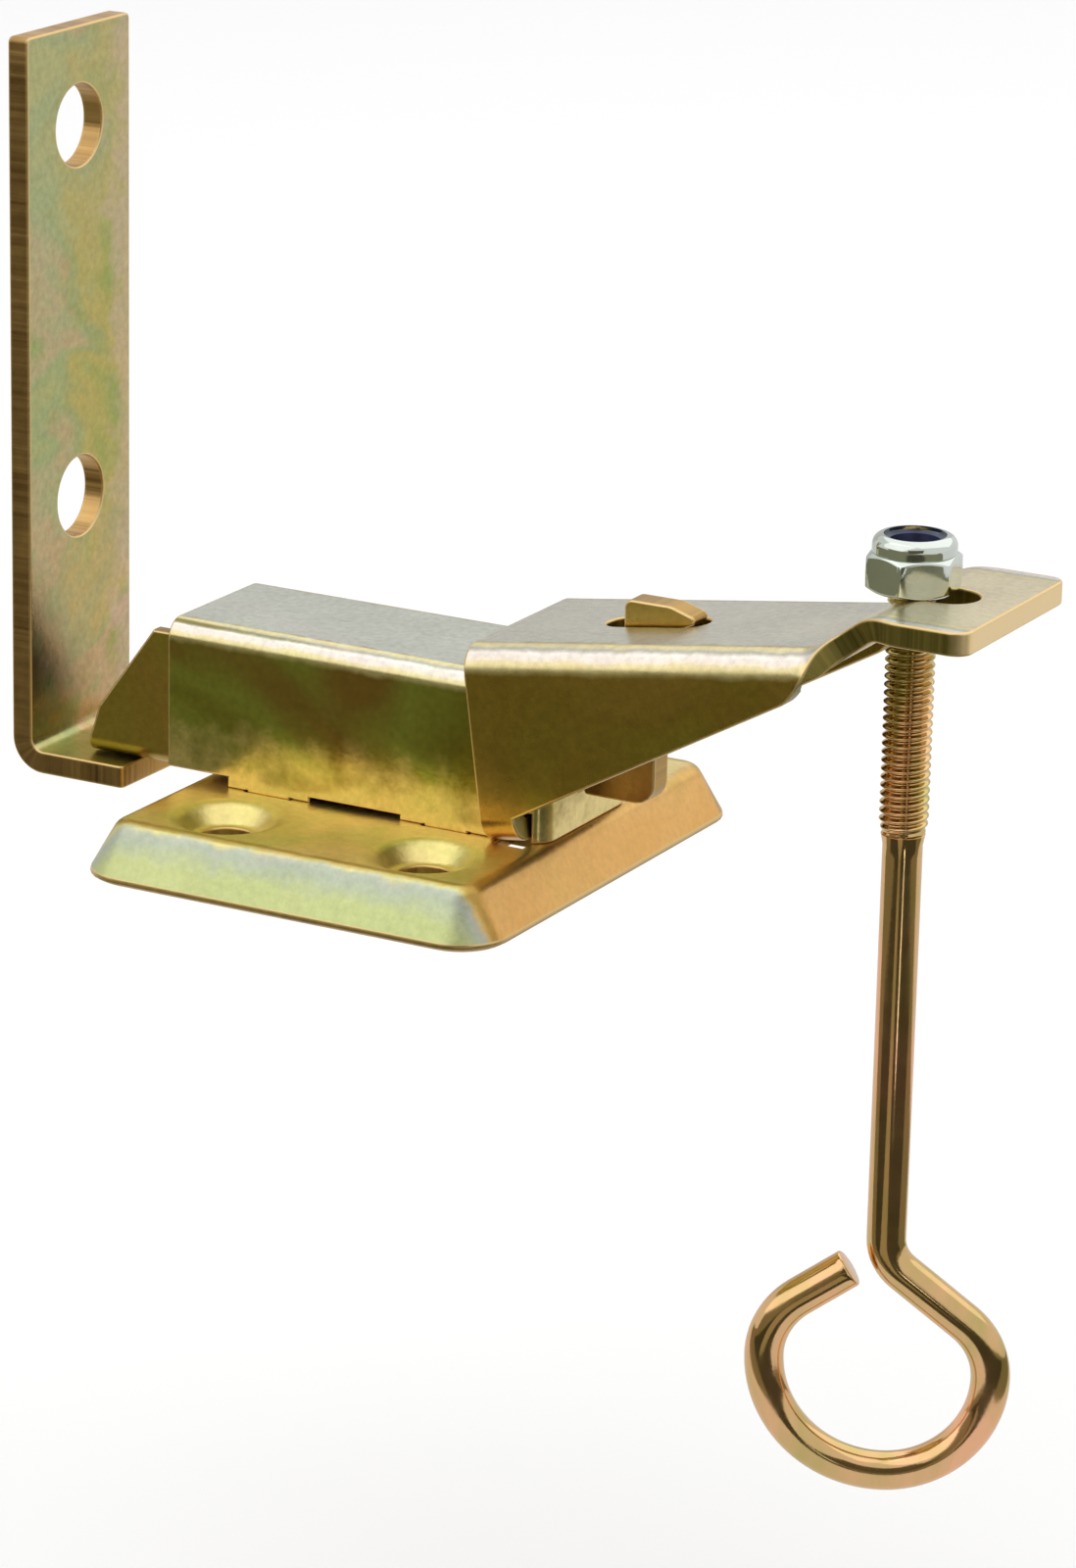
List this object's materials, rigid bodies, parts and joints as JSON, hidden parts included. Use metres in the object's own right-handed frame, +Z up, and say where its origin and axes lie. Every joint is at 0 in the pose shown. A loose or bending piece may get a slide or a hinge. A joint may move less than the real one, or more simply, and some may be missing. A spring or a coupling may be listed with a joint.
{
  "type": "loft hatch latch",
  "caption": "Sprung latch for a loft hatch: sliding tongue in a folded housing on a pressed base, rocking lever, hanging ring bolt and angle strike.",
  "frame": {"origin": "centre of the base plate's screw pattern, half way through the floor of its dimples", "axes": "+X along the latch from the strike towards the pull ring, +Y across it, +Z up away from the board it is screwed to"},
  "size_m": [0.1293, 0.066, 0.1644],
  "materials": {
    "yellow_zinc_base": "yellow passivated zinc, semi-gloss",
    "yellow_zinc_housing": "yellow passivated zinc, semi-gloss",
    "yellow_zinc_tongue": "yellow passivated zinc, semi-gloss",
    "yellow_zinc_plate": "yellow passivated zinc, sheared edges",
    "yellow_zinc_lever": "yellow passivated zinc, semi-gloss",
    "yellow_zinc_wire": "yellow passivated zinc on drawn wire, glossy",
    "yellow_zinc_strike": "yellow passivated zinc, semi-gloss",
    "spring_steel": "drawn spring wire",
    "bright_zinc": "bright zinc",
    "nylon": "moulded nylon"
  },
  "bodies": {
    "frame": {"base_plate": "yellow_zinc_base", "housing": "yellow_zinc_housing"},
    "bolt": {"latch_tongue": "yellow_zinc_tongue", "pull_plate": "yellow_zinc_plate", "return_spring": "spring_steel"},
    "lever": {"lever": "yellow_zinc_lever"},
    "nut": {"lock_nut": "bright_zinc", "nut_insert": "nylon"},
    "ring_bolt": {"eye_bolt": "yellow_zinc_wire"},
    "strike": {"strike": "yellow_zinc_strike"}
  },
  "joints": [
    {"name": "lever_pull", "type": "hinge", "parent": "frame", "child": "lever", "pos_m": [0.0186, 0, 0.00465], "axis": [0, 1, 0], "range_deg": [0, 28], "stiffness_Nm_per_rad": 0.8, "springref_deg": -17.19},
    {"name": "tongue_slide", "type": "slide", "parent": "frame", "child": "bolt", "axis": [1, 0, 0], "range_m": [0, 0.0087], "deforming": ["return_spring"]},
    {"name": "nut_rock", "type": "hinge", "parent": "lever", "child": "nut", "pos_m": [0.06677, 0, 0.03416], "axis": [0, -1, 0], "range_deg": [0, 28.5]},
    {"name": "bolt_turn", "type": "hinge", "parent": "nut", "child": "ring_bolt", "pos_m": [0.065, 0, 0.04], "axis": [0, 0, 1], "continuous": true},
    {"name": "strike_offset", "type": "slide", "parent": "frame", "child": "strike", "axis": [-1, 0, 0], "range_m": [0, 0.012]}
  ],
  "couplings": [
    {"joint": "tongue_slide", "follows": "lever_pull", "m_per_rad": 0.0176},
    {"joint": "nut_rock", "follows": "lever_pull", "ratio": 1}
  ]
}
